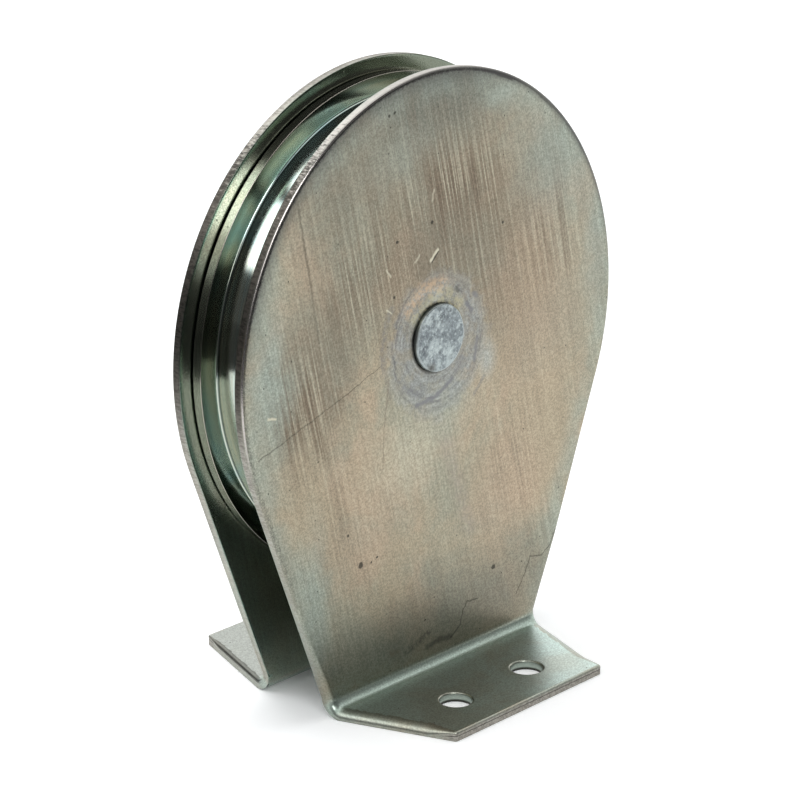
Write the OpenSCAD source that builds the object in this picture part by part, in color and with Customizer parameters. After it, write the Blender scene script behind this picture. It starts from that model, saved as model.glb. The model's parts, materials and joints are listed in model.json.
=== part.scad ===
// Guide pulley for a flat belt. A grooved sheave turns on a ball bearing between two folded
// side plates, and a pin staked at both ends holds the stack together.
// The origin is on the ground, under the middle of the axle. X runs across the plates, Y along
// the axle with the front plate on the -Y side, and Z up. Lengths are in millimetres.

/* [Side plates] */
// Height of the axle above the ground
axle_h = 107; // [98:1:120]
// Radius of the round head of each plate
head_r = 80; // [77:1:90]
// Thickness of the sheet steel
sheet_t = 3; // [2:0.5:4]
// Clear distance between the two plates
plate_gap = 22; // [21:0.5:28]
// Lean of each flank from the vertical
flank_angle = 21; // [12:1:23]
// Inner radius of the bend between a plate and its foot
bend_r = 3; // [0.5:0.5:4]

/* [Feet] */
// Distance from the inner face of a plate to the outer edge of its foot
foot_reach = 41; // [36:1:60]
// Width of a foot along its outer edge
foot_end_w = 66; // [54:1:80]
// Diameter of the bolt holes
bolt_hole_d = 10; // [6.5:0.5:13]
// Distance between the two bolt holes of one foot
bolt_spacing = 32; // [20:1:40]
// Distance from the inner face of a plate to the bolt holes
bolt_reach = 25.5; // [18:0.5:30]

/* [Axle] */
// Diameter of the axle pin
axle_d = 20; // [17:0.5:22]
// How far each staked end stands out of its plate
stake_h = 1.4; // [0.6:0.1:3]
// How far a staked end is spread over the rim of its hole
stake_flare = 0.3; // [0.1:0.1:1]
// Broken edge of a staked end
stake_edge = 0.4; // [0.1:0.1:0.5]
// Wall of the spacers between the bearing and the plates
spacer_wall = 3.5; // [2:0.5:4]

/* [Sheave] */
// Diameter over the rims
sheave_d = 151; // [146:1:160]
// Diameter of the floor of the groove
groove_d = 140; // [120:1:142]
// Width of the floor of the groove
groove_w = 12.8; // [8:0.1:14]
// Lean of the groove walls from the radius
wall_angle = 9; // [0:1:12]
// Radius in the corners of the groove
groove_fillet = 0.8; // [0.3:0.1:1.5]
// Broken edges of the rims
rim_edge = 0.4; // [0.1:0.1:0.8]
// Height of the shoulder that the bearing seats against
shoulder_h = 3; // [1.5:0.5:3.5]

/* [Bearing] */
// Outer diameter of the bearing
bearing_d = 47; // [44:0.5:52]
// Width of the bearing
bearing_w = 14; // [13:0.1:14.5]
// Diameter of the balls
ball_d = 7.9; // [7:0.1:8.3]
// Number of balls
ball_count = 8; // [6:1:8]
// Radial distance from the ball circle to the lands of the rings
land_drop = 2.5; // [2:0.1:2.8]
// Radius of a race, as a multiple of the ball radius
race_ratio = 1.04; // [1.02:0.01:1.08]
// Radial thickness of the cage
cage_t = 3; // [2:0.1:3.2]
// Wall of the cage behind the balls
cage_back = 0.8; // [0.5:0.1:0.9]
// Reach of the cage fingers past the middle of the balls
cage_finger = 2.2; // [1:0.1:2.6]
// Thickness of the shields
shield_t = 0.6; // [0.3:0.1:0.8]
// Depth of the seat of a shield below the bearing's face
shield_depth = 1.3; // [1:0.1:1.4]
// Radial height of the seat of a shield
shield_seat = 0.8; // [0.4:0.1:1]

/* [Retaining ring] */
// Thickness of the retaining ring
ring_t = 1.7; // [1:0.1:1.8]
// Radial width of the retaining ring
ring_w = 4; // [3:0.1:5]
// Depth of the slot that holds the ring
slot_depth = 1.2; // [0.8:0.1:1.6]
// Open angle between the ends of the ring
ring_opening = 40; // [30:1:60]
// Diameter of the lugs at the ends of the ring
lug_d = 6; // [5:0.1:7]
// Diameter of the tool holes in the lugs
lug_hole_d = 2.5; // [1.5:0.1:3]

/* [Clearances] */
// Running clearance between the rims of the sheave and the plates
rim_clear = 0.5; // [0.3:0.1:1.2]
// Radial clearance of a tight seat
seat_clear = 0.02; // [0.01:0.01:0.05]
// Radial clearance between the balls and the races
race_clear = 0.05; // [0.02:0.01:0.1]
// Clearance between the balls and the cage
pocket_clear = 0.15; // [0.1:0.01:0.3]
// Radial clearance between the shields and the inner ring
shield_clear = 0.3; // [0.2:0.05:0.5]
// Axial clearance of the retaining ring in its slot
slot_clear = 0.05; // [0.02:0.01:0.1]

/* [Hidden] */
$fn = 128;

// How far a cut runs past the face it opens
cut = 1;

// Faces along the axle, measured from the middle
inner_y = plate_gap / 2;
outer_y = inner_y + sheet_t;
bearing_y = bearing_w / 2;
rim_y = inner_y - rim_clear;

// The plate: where its flat part meets the bend, and its half width there
bend_z = sheet_t + bend_r;
bend_half_w = (head_r - (axle_h - bend_z) * sin(flank_angle)) / cos(flank_angle);

// Radii about the axle
axle_r = axle_d / 2;
hole_r = axle_r + seat_clear;
sheave_r = sheave_d / 2;
groove_r = groove_d / 2;
seat_r = bearing_d / 2 + seat_clear;
slot_r = seat_r + slot_depth;
pitch_r = (axle_d + bearing_d) / 4;
ball_r = ball_d / 2;
race_r = ball_r * race_ratio;
inner_land_r = pitch_r - land_drop;
outer_land_r = pitch_r + land_drop;
shield_r = outer_land_r + shield_seat;
pocket_r = ball_r + pocket_clear;
ring_out_r = slot_r - seat_clear;

zinc = "#a7a99f";
bright_zinc = "#b9c4c1";
pin_steel = "#8f979b";
bearing_steel = "#c3c6c8";
cage_polymer = "#3a3d40";

// Turns a piece drawn along Z onto the axle
module on_axle() {
    translate([0, 0, axle_h]) rotate([-90, 0, 0]) children();
}

// A ring about the axle, between two radii and two places along it
module ring_section(r_in, r_out, y_from, y_to) {
    translate([r_in, y_from]) square([r_out - r_in, y_to - y_from]);
}

// Outline of a plate above its bend: the round head and its two tangent flanks
module plate_outline() {
    tangent_x = head_r * cos(flank_angle);
    tangent_z = axle_h - head_r * sin(flank_angle);
    intersection() {
        union() {
            translate([0, axle_h]) circle(r = head_r);
            polygon([[-bend_half_w, bend_z], [bend_half_w, bend_z],
                     [tangent_x, tangent_z], [-tangent_x, tangent_z]]);
        }
        translate([-2 * head_r, bend_z]) square([4 * head_r, axle_h + 2 * head_r]);
    }
}

// Section through the foot and the bend, with the plate's inner face at 0
module foot_section() {
    translate([-foot_reach, 0]) square([foot_reach - bend_z, sheet_t]);
    intersection() {
        translate([-bend_z, bend_z]) difference() {
            circle(r = bend_z);
            circle(r = bend_r);
        }
        translate([-bend_z, 0]) square(bend_z);
    }
}

// Outline of a foot from above: its sides taper from the bend to the outer edge
module foot_outline() {
    polygon([[-bend_half_w, 0], [bend_half_w, 0], [bend_half_w, -sheet_t],
             [foot_end_w / 2, -foot_reach], [-foot_end_w / 2, -foot_reach],
             [-bend_half_w, -sheet_t]]);
}

// The front side plate, cut and folded from one sheet
module side_plate() {
    color(zinc) translate([0, -inner_y, 0]) difference() {
        union() {
            rotate([90, 0, 0]) linear_extrude(sheet_t) plate_outline();
            intersection() {
                rotate([90, 0, 90]) linear_extrude(2 * head_r, center = true) foot_section();
                linear_extrude(bend_z) foot_outline();
            }
        }
        translate([0, cut, axle_h]) rotate([90, 0, 0]) cylinder(r = hole_r, h = sheet_t + 2 * cut);
        for (side = [-1, 1])
            translate([side * bolt_spacing / 2, -bolt_reach, -cut])
                cylinder(d = bolt_hole_d, h = sheet_t + 2 * cut);
    }
}

module front_plate() {
    side_plate();
}

module rear_plate() {
    mirror([0, 1, 0]) side_plate();
}

// The pin through both plates, its ends spread over the rims of the holes
module axle_pin() {
    stake_r = axle_r + stake_flare;
    end_y = outer_y + stake_h;
    end = [[axle_r, outer_y], [stake_r, outer_y], [stake_r, end_y - stake_edge],
           [stake_r - stake_edge, end_y], [0, end_y]];
    other_end = [for (i = [len(end) - 1 : -1 : 0]) [end[i][0], -end[i][1]]];
    color(pin_steel) on_axle() rotate_extrude() polygon(concat(end, other_end));
}

// A spacer keeps the bearing's inner ring at its distance from a plate
module spacer() {
    color(zinc) on_axle() rotate_extrude() ring_section(hole_r, hole_r + spacer_wall, bearing_y, inner_y);
}

module front_spacer() {
    mirror([0, 1, 0]) spacer();
}

module rear_spacer() {
    spacer();
}

// Section of the belt groove: a flat floor, leaning walls and round corners
module groove_section() {
    corner_y = groove_w / 2 - groove_fillet * (1 - sin(wall_angle)) / cos(wall_angle);
    corner_r = groove_r + groove_fillet;
    touch_y = corner_y + groove_fillet * cos(wall_angle);
    touch_r = corner_r - groove_fillet * sin(wall_angle);
    mouth_r = sheave_r + cut;
    mouth_y = groove_w / 2 + (mouth_r - groove_r) * tan(wall_angle);
    polygon([[groove_r, -corner_y], [touch_r, -touch_y], [mouth_r, -mouth_y],
             [mouth_r, mouth_y], [touch_r, touch_y], [groove_r, corner_y]]);
    for (side = [-1, 1])
        translate([corner_r, side * corner_y]) circle(r = groove_fillet);
}

// The sheave, turned from one blank, with its bearing seat open to the front
module sheave() {
    color(bright_zinc) on_axle() rotate_extrude() difference() {
        polygon([[0, -rim_y], [sheave_r - rim_edge, -rim_y], [sheave_r, -rim_y + rim_edge],
                 [sheave_r, rim_y - rim_edge], [sheave_r - rim_edge, rim_y], [0, rim_y]]);
        groove_section();
        ring_section(0, seat_r - shoulder_h, -rim_y - cut, rim_y + cut);
        ring_section(0, seat_r, -rim_y - cut, bearing_y);
        ring_section(0, slot_r, -bearing_y - ring_t - slot_clear, -bearing_y);
    }
}

module bearing_outer_ring() {
    color(bearing_steel) on_axle() rotate_extrude() difference() {
        ring_section(outer_land_r, bearing_d / 2, -bearing_y, bearing_y);
        translate([pitch_r + ball_r + race_clear - race_r, 0]) circle(r = race_r);
        for (side = [0, 1]) mirror([0, side])
            ring_section(0, shield_r, bearing_y - shield_depth, bearing_y + cut);
    }
}

module bearing_inner_ring() {
    color(bearing_steel) on_axle() rotate_extrude() difference() {
        ring_section(hole_r, inner_land_r, -bearing_y, bearing_y);
        translate([pitch_r - ball_r - race_clear + race_r, 0]) circle(r = race_r);
    }
}

// Puts a copy at every ball's place on the ball circle
module at_balls() {
    for (i = [0 : ball_count - 1])
        rotate(360 / ball_count * i) translate([pitch_r, 0, 0]) children();
}

module bearing_balls() {
    color(bearing_steel) on_axle() at_balls() sphere(r = ball_r);
}

// The cage: a ring behind the balls with fingers that reach between them
module bearing_cage() {
    color(cage_polymer) on_axle() difference() {
        rotate_extrude()
            ring_section(pitch_r - cage_t / 2, pitch_r + cage_t / 2, -pocket_r - cage_back, cage_finger);
        at_balls() sphere(r = pocket_r);
    }
}

// A shield closes one side of the bearing and turns with its outer ring
module shield() {
    seat_y = bearing_y - shield_depth;
    color(zinc) on_axle() rotate_extrude()
        ring_section(inner_land_r + shield_clear, shield_r - seat_clear, seat_y, seat_y + shield_t);
}

module front_shield() {
    mirror([0, 1, 0]) shield();
}

module rear_shield() {
    shield();
}

// The open spring ring that holds the bearing against its shoulder
module retaining_ring() {
    lug_place = ring_out_r - lug_d / 2;
    lug_turn = ring_opening / 2 + asin(lug_d / 2 / lug_place);
    reach = 2 * ring_out_r;
    color(pin_steel) on_axle() translate([0, 0, -bearing_y - ring_t]) linear_extrude(ring_t) difference() {
        union() {
            difference() {
                circle(r = ring_out_r);
                circle(r = ring_out_r - ring_w);
                polygon([[0, 0], [reach * cos(lug_turn), -reach * sin(lug_turn)],
                         [reach * cos(lug_turn), reach * sin(lug_turn)]]);
            }
            for (side = [-1, 1]) rotate(side * lug_turn) translate([lug_place, 0]) circle(d = lug_d);
        }
        for (side = [-1, 1]) rotate(side * lug_turn) translate([lug_place, 0]) circle(d = lug_hole_d);
    }
}

front_plate();
rear_plate();
axle_pin();
front_spacer();
rear_spacer();
sheave();
bearing_outer_ring();
bearing_inner_ring();
bearing_balls();
bearing_cage();
front_shield();
rear_shield();
retaining_ring();
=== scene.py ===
import json
import math
from types import SimpleNamespace

import bmesh
import bpy
import numpy as np
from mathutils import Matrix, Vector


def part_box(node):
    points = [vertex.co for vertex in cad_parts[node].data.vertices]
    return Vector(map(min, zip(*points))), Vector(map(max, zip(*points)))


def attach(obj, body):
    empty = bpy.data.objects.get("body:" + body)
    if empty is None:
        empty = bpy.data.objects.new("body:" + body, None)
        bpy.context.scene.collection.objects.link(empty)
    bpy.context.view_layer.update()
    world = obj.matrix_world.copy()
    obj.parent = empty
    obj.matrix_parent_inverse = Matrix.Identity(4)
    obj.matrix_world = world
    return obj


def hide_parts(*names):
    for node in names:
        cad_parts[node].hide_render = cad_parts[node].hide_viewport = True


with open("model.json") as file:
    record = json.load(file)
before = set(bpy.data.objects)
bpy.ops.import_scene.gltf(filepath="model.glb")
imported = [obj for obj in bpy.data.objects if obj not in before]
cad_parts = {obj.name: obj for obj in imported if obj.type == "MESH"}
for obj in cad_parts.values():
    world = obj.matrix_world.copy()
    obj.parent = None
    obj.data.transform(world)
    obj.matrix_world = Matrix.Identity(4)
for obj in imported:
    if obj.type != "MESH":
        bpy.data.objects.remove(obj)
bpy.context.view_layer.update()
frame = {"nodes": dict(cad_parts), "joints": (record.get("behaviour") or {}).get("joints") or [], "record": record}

mm = 0.001
spin = next(joint for joint in frame["joints"] if joint["name"] == "sheave_spin")
axleZ = spin["pos_m"][2] / mm
innerY = -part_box("front_plate")[1].y / mm  # from the middle to a plate's inner face
print("frame loaded, axle at", round(axleZ, 2), "mm, plates at", round(innerY, 2), "mm")


# meshes

def gridQuads(rows, columns, wrap):
    # faces of a grid of points; wrap joins the last column to the first
    index = np.arange(rows * columns).reshape(rows, columns)
    ahead = np.roll(index, -1, axis=1)
    last = columns if wrap else columns - 1
    corners = [index[:-1, :last], ahead[:-1, :last], ahead[1:, :last], index[1:, :last]]
    return np.stack(corners, axis=-1).reshape(-1, 4)


def makePiece(name, patches, layers, sharpAngle, material, body, nodes):
    # patches are grids of points in mm with one more number per layer; shared borders are welded
    points, quads, start = [], [], 0
    for grid, wrap in patches:
        rows, columns, width = grid.shape
        points.append(grid.reshape(-1, width))
        quads.append(gridQuads(rows, columns, wrap) + start)
        start += rows * columns
    points = np.concatenate(points)
    mesh = bpy.data.meshes.new(name)
    mesh.from_pydata((points[:, :3] * mm).tolist(), [], np.concatenate(quads).tolist())
    for number, layer in enumerate(layers):
        values = mesh.attributes.new(layer, "FLOAT", "POINT").data
        values.foreach_set("value", points[:, 3 + number].astype(np.float32))
    shape = bmesh.new()
    shape.from_mesh(mesh)
    bmesh.ops.remove_doubles(shape, verts=shape.verts, dist=0.002 * mm)
    bmesh.ops.recalc_face_normals(shape, faces=shape.faces)
    shape.to_mesh(mesh)
    shape.free()
    mesh.shade_smooth()
    mesh.set_sharp_from_angle(angle=math.radians(sharpAngle))
    piece = bpy.data.objects.new(name, mesh)
    bpy.context.scene.collection.objects.link(piece)
    mesh.materials.append(material)
    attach(piece, body)
    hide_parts(*nodes)
    print(name, len(mesh.vertices), "points,", len(mesh.polygons), "faces")
    return piece


def roundedProfile(corners, radii, steps, support):
    # a closed profile whose corners become tangent arcs, with a support point beside each arc
    corners = np.asarray(corners, float)
    toBefore = np.roll(corners, 1, axis=0) - corners
    toAfter = np.roll(corners, -1, axis=0) - corners
    toBefore /= np.linalg.norm(toBefore, axis=1, keepdims=True)
    toAfter /= np.linalg.norm(toAfter, axis=1, keepdims=True)
    half = np.arccos(np.clip((toBefore * toAfter).sum(axis=1), -1, 1)) / 2
    radii = np.asarray(radii, float)
    tangent = radii / np.tan(half)
    middle = toBefore + toAfter
    middle /= np.linalg.norm(middle, axis=1, keepdims=True)
    centre = corners + middle * (radii / np.sin(half))[:, None]
    begin = corners + toBefore * tangent[:, None] - centre
    end = corners + toAfter * tangent[:, None] - centre
    sweep = math.pi - 2 * half
    share = np.linspace(0, 1, steps + 1)
    weights = np.sin(np.outer(sweep, 1 - share)), np.sin(np.outer(sweep, share))
    arcs = weights[0][..., None] * begin[:, None] + weights[1][..., None] * end[:, None]
    arcs = arcs / np.sin(sweep)[:, None, None] + centre[:, None]
    first = arcs[:, :1] + support * toBefore[:, None]
    last = arcs[:, -1:] + support * toAfter[:, None]
    return np.concatenate([first, arcs, last], axis=1).reshape(-1, 2)


def revolve(profile, segments):
    # a profile of (radius, place along the axle) turned about the axle
    angle = np.arange(segments) * 2 * math.pi / segments
    radius, along = profile[:, :1], profile[:, 1:]
    x = radius * np.cos(angle)
    z = axleZ + radius * np.sin(angle)
    return np.stack([x, np.broadcast_to(along, x.shape), z], axis=-1)


# shading

class Wire:
    # one socket of a node tree; arithmetic on it adds Math nodes

    def __init__(self, tree, socket=None):
        self.tree = tree
        self.socket = socket

    def node(self, kind, settings=None, sockets=None, out=0):
        # a new node, its settings first and then the values or links of its sockets; gives one output
        made = self.tree.nodes.new(kind)
        for name, value in (settings or {}).items():
            setattr(made, name, value)
        for name, value in (sockets or {}).items():
            if isinstance(value, Wire):
                self.tree.links.new(value.socket, made.inputs[name])
            else:
                made.inputs[name].default_value = value
        return Wire(self.tree, made.outputs[out])

    def sibling(self, out):
        # another output of the same node
        return Wire(self.tree, self.socket.node.outputs[out])

    def math(self, operation, first, second=0.0):
        return self.node("ShaderNodeMath", {"operation": operation}, {0: first, 1: second})

    def __add__(self, other):
        return self.math("ADD", self, other)

    def __radd__(self, other):
        return self.math("ADD", other, self)

    def __sub__(self, other):
        return self.math("SUBTRACT", self, other)

    def __rsub__(self, other):
        return self.math("SUBTRACT", other, self)

    def __mul__(self, other):
        return self.math("MULTIPLY", self, other)

    def __rmul__(self, other):
        return self.math("MULTIPLY", other, self)

    def __truediv__(self, other):
        return self.math("DIVIDE", self, other)

    def __rtruediv__(self, other):
        return self.math("DIVIDE", other, self)

    def __pow__(self, other):
        return self.math("POWER", self, other)

    def __abs__(self):
        return self.math("ABSOLUTE", self)

    def most(self, other):
        return self.math("MAXIMUM", self, other)

    def least(self, other):
        return self.math("MINIMUM", self, other)

    def ease(self, low, high):
        # 0 at low, 1 at high, with a smooth way between; low may be the larger
        sockets = {"Value": self, "From Min": low, "From Max": high}
        return self.node("ShaderNodeMapRange", {"interpolation_type": "SMOOTHSTEP"}, sockets)

    def tint(self, base, other, blend="MIX"):
        # this value mixes a second colour into the first
        kind = {"data_type": "RGBA", "blend_type": blend}
        return self.node("ShaderNodeMix", kind, {0: self, 6: asColour(base), 7: asColour(other)}, 2)

    def vector(self, operation, other=(0, 0, 0), out=0):
        return self.node("ShaderNodeVectorMath", {"operation": operation}, {0: self, 1: other}, out)

    def stretched(self, factor):
        return self.node("ShaderNodeVectorMath", {"operation": "SCALE"}, {0: self, 3: factor})

    def axes(self):
        return [self.node("ShaderNodeSeparateXYZ", None, {0: self}, out) for out in range(3)]

    def packed(self, x, y, z):
        return self.node("ShaderNodeCombineXYZ", None, {0: x, 1: y, 2: z})

    def noise(self, scale, detail=2.0, roughness=0.5, warp=0.0):
        sockets = {"Vector": self, "Scale": scale, "Detail": detail}
        sockets.update({"Roughness": roughness, "Distortion": warp})
        return self.node("ShaderNodeTexNoise", None, sockets)

    def layer(self, name):
        # the piece's own attribute of that name
        return self.node("ShaderNodeAttribute", {"attribute_name": name}, None, 2)


def asColour(value):
    # a plain colour gets its alpha, a wire stays
    return value if isinstance(value, Wire) else (*value, 1)


def newMaterial(name):
    # a bare material, its Principled shader and the place on the object in mm
    material = bpy.data.materials.new(name)
    material.use_nodes = True
    tree = material.node_tree
    shader = tree.nodes["Principled BSDF"]
    place = Wire(tree).node("ShaderNodeTexCoord", None, None, 3).stretched(1 / mm)
    return material, shader, place


def feed(shader, sockets):
    # links wires and sets plain values on a shader's own sockets
    for name, value in sockets.items():
        if isinstance(value, Wire):
            value.tree.links.new(value.socket, shader.inputs[name])
        else:
            shader.inputs[name].default_value = value


def bumped(height, strength, depth):
    # a normal from a height; depth in mm
    sockets = {"Strength": strength, "Distance": depth * mm, "Height": height}
    return height.node("ShaderNodeBump", None, sockets)


# camera

view = {
    "azimuth": -46.994,        # degrees
    "elevation": 18.897,
    "distance": 897.05,        # mm
    "lens": 137.56,
    "sensor": 36,
    "right": -1.946,           # slides across the picture
    "up": -20.344,
}


def makeCamera():
    # stands back from the axle's middle along the view's direction, then slides right and up
    azimuth, elevation = math.radians(view["azimuth"]), math.radians(view["elevation"])
    level = math.cos(elevation)
    back = np.array([math.sin(azimuth) * level, -math.cos(azimuth) * level, math.sin(elevation)])
    right = np.array([math.cos(azimuth), math.sin(azimuth), 0])
    up = np.cross(back, right)
    place = np.array([0, 0, axleZ]) + back * view["distance"] + right * view["right"] + up * view["up"]
    camera = bpy.data.objects.new("camera", bpy.data.cameras.new("camera"))
    bpy.context.scene.collection.objects.link(camera)
    stand = np.eye(4)
    stand[:3, :3] = np.stack([right, up, back], axis=1)
    stand[:3, 3] = place * mm
    camera.matrix_world = stand.T.tolist()
    camera.data.sensor_width = view["sensor"]
    camera.data.lens = view["lens"]
    camera.data.clip_start = 0.01
    bpy.context.scene.camera = camera


makeCamera()
print("camera set")


# side plates

plate = {
    "sheet": 3.0,
    "bendRadius": 3.0,
    "headRadius": 80.0,
    "flankAngle": 21.0,
    "footReach": 41.0,
    "footEnd": 66.0,
    "footCorner": 1.4,
    "boltHole": 10.0,
    "boltSpacing": 32.0,
    "boltReach": 25.5,
    "pinHole": 20.04,
    "rollEnd": (0.8, 0.7),     # width and depth of the rolled edge at the foot's end
    "rollSide": (3.6, 2.6),    # along the foot's sides
    "rollFlank": (0.9, 0.8),   # up the flanks
    "rollHead": (1.3, 0.9),    # round the head
    "burr": 0.2,
    "tear": 0.07,              # how far the torn part of the cut stands back
    "tearStart": 0.28,         # where the tear starts, as a share of the straight cut
    "holeLip": 0.5,
    "bulge": 0.5,              # the squeezed side of the bend swells past the edge
    "stakeDent": 0.18,
    "stakeRing": (15.0, 3.6),  # radius and width of the pressed ring
    "stakeRadius": 20.0,       # its torn rim
    "wave": 0.05,
}
sheet = plate["sheet"]
bendOuter = sheet + plate["bendRadius"]
footFlat = plate["footReach"] - bendOuter
bendLength = (plate["bendRadius"] + sheet / 2) * math.pi / 2
plateStart = footFlat + bendLength
axleV = plateStart + axleZ - bendOuter
axlePoint = np.array([0, axleV])
boltPoint = np.array([plate["boltSpacing"] / 2, plate["footReach"] - plate["boltReach"]])
faceLayers = ["wall", "tear", "rim"]    # share of raw cut, way down the cut, distance from the outline


def sideChain(inset):
    # right half of the blank's outline from the middle of the foot's end to the top, moved in by inset
    flank = math.radians(plate["flankAngle"])
    head = plate["headRadius"]
    bendHalf = (head - (axleZ - bendOuter) * math.sin(flank)) / math.cos(flank)
    footHalf = plate["footEnd"] / 2
    taper = (bendHalf - footHalf) / (plate["footReach"] - sheet)
    knots = np.array([
        [0, 0],
        [footHalf, 0],
        [footHalf + taper * footFlat, footFlat],
        [bendHalf, plateStart],
        [head * math.cos(flank), axleV - head * math.sin(flank)],
    ])
    run = np.diff(knots, axis=0)
    run /= np.linalg.norm(run, axis=1, keepdims=True)
    outward = np.stack([run[:, 1], -run[:, 0]], axis=1)

    def crossing(line, by):
        # where two neighbouring lines meet, both moved in by the same amount
        sides = outward[line:line + 2]
        return np.linalg.solve(sides, (sides * knots[line + 1]).sum(axis=1) - by)

    def between(start, end, count):
        # even points on a straight run, without its end
        return start + (end - start) * np.linspace(0, 1, count, endpoint=False)[:, None]

    corner = plate["footCorner"]
    turn = np.linspace(0, 1, 6)
    swing = (1 - turn)[:, None] * outward[0] + turn[:, None] * outward[1]
    swing /= np.linalg.norm(swing, axis=1, keepdims=True)
    cornerArc = crossing(0, corner) + swing * (corner - inset)
    bendIn, bendOut = crossing(1, inset), crossing(2, inset)
    around = np.linspace(-flank, math.pi / 2, 64)
    headArc = np.array([0, axleV]) + (head - inset) * np.stack([np.cos(around), np.sin(around)], axis=1)
    runs = [
        between(np.array([0, inset]), cornerArc[0], 12),
        cornerArc,
        between(cornerArc[-1], bendIn, 28)[1:],
        between(bendIn, bendOut, 8),
        between(bendOut, headArc[0], 32),
        headArc,
    ]
    ends = np.cumsum([len(points) for points in runs])
    return np.concatenate(runs), ends[2], ends[3]


def mirrored(points):
    # across the middle line
    return points * [-1, 1]


def bothHalves(chain):
    # the right half and its mirror image, as one closed loop
    flip = [-1, 1] if chain.shape[-1] == 2 else [1]
    return np.concatenate([chain, chain[-2:0:-1] * flip])


def alongEdge(knots, values):
    # values given at places along the blank, carried over to each point of the chain
    v = sideChain(0)[0][:, 1]
    return np.stack([np.interp(v, knots, column) for column in np.transpose(values)], axis=1)


def rollAlong(scale):
    # width and depth of the rolled edge: foot's end, its sides, flanks and head
    corner = plate["footCorner"]
    end, side, flank, head = (plate[name] for name in ("rollEnd", "rollSide", "rollFlank", "rollHead"))
    knots = [0, corner, corner + 7, footFlat, plateStart + 22, axleV, axleV + 40]
    roll = alongEdge(knots, [end, (corner - 0.2, end[1]), side, side, flank, head, head])
    return roll * scale


def cutAlong():
    # how much of the raw cut shows: all of it at the foot's end and round the head
    knots = [0, plate["footCorner"], 6, axleV - 70, axleV - 20, axleV + 80]
    return alongEdge(knots, [[1], [1], [0.35], [0.35], [1], [1]])[:, 0]


def holeProfile():
    # (how far out, height in the sheet) down the wall of a hole
    turn = np.linspace(0, math.pi / 2, 6)
    lip, burr = plate["holeLip"], plate["burr"]
    top = np.stack([lip * (1 - np.sin(turn)), sheet - lip * (1 - np.cos(turn))], axis=1)
    foot = np.stack([burr * (1 - np.cos(turn)), burr * (1 - np.sin(turn))], axis=1)
    return np.concatenate([top, foot])


def dented(u, v):
    # height of the outer face over the sheet: a shallow ring round the staked pin and a slow wave
    radius = np.hypot(u, v - axleV)
    ring = np.exp(-((radius - plate["stakeRing"][0]) / plate["stakeRing"][1]) ** 2)
    edge = np.exp(-((radius - plate["stakeRadius"]) / 0.8) ** 2)
    angle = np.arctan2(v - axleV, u)
    uneven = 0.5 + 0.5 * np.sin(2 * angle + 0.7) * np.sin(5 * angle + 2)
    slow = np.sin(u / 17 + 1.3) * np.sin(v / 23 + 0.4) * plate["wave"]
    fade = np.clip(radius / 30, 0, 1) * np.clip((plate["headRadius"] - radius) / 6, 0, 1)
    return slow * fade - plate["stakeDent"] * (ring * 0.8 + edge * uneven * 0.8)


def spread(centre, hole, border, bands):
    # a star of points from a hole's rim to a border: straight rays, shares of the way in bands
    away = border - centre
    reach = np.linalg.norm(away, axis=1, keepdims=True)
    rays = away / reach
    radius = hole + (reach - hole) * bands
    return centre + rays[None] * radius.T[..., None]


def faceBands(first, count):
    # shares of the way across a face, close together at the hole and with a support line at the border
    near = np.linspace(0, 1, first) ** 1.3 * 0.2
    rest = np.linspace(0.2, 1, count)[1:]
    return np.concatenate([near, rest[:-1], [0.992, 1]])


def rimDistance(u, v, loop):
    # how far each point lies from the outline, taken in slices to spare memory
    flat = np.stack([u.ravel(), v.ravel()], axis=1)
    parts = np.array_split(flat, 24)
    near = [np.sqrt(((part[:, None] - loop[None]) ** 2).sum(axis=2).min(axis=1)) for part in parts]
    return np.concatenate(near).reshape(u.shape)


def folded(grid, side):
    # lays blank points (across, along, through the sheet) round the bend; side is -1 front, 1 rear
    u, v, w = grid[..., 0], grid[..., 1], grid[..., 2]
    turn = np.clip((v - footFlat) / bendLength, 0, 1) * math.pi / 2
    middle = footFlat + bendLength / 2
    half = plate["footEnd"] / 2
    swell = np.exp(-((v - middle) / 3) ** 2) * np.clip((np.abs(u) - half) / 12, 0, 1) ** 3
    u = u + np.sign(u) * swell * plate["bulge"] * np.clip(w / sheet, 0, 1) ** 2
    radius = bendOuter - w
    away = innerY + bendOuter - radius * np.sin(turn) + np.clip(footFlat - v, 0, None)
    z = bendOuter - radius * np.cos(turn) + np.clip(v - plateStart, 0, None)
    return np.concatenate([np.stack([u, side * away, z], axis=-1), grid[..., 3:]], axis=-1)


def blankPatch(side, uv, height, walls=0, tear=0, rim=None):
    # points of the flat blank with their layers, folded into place; rim is measured where none is given
    u, v = uv[..., 0], uv[..., 1]
    if rim is None:
        rim = rimDistance(u, v, bothHalves(sideChain(0)[0]))
    parts = [np.broadcast_to(part, u.shape) for part in (u, v, height, walls, tear, rim)]
    return folded(np.stack(parts, axis=-1), side)


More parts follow.
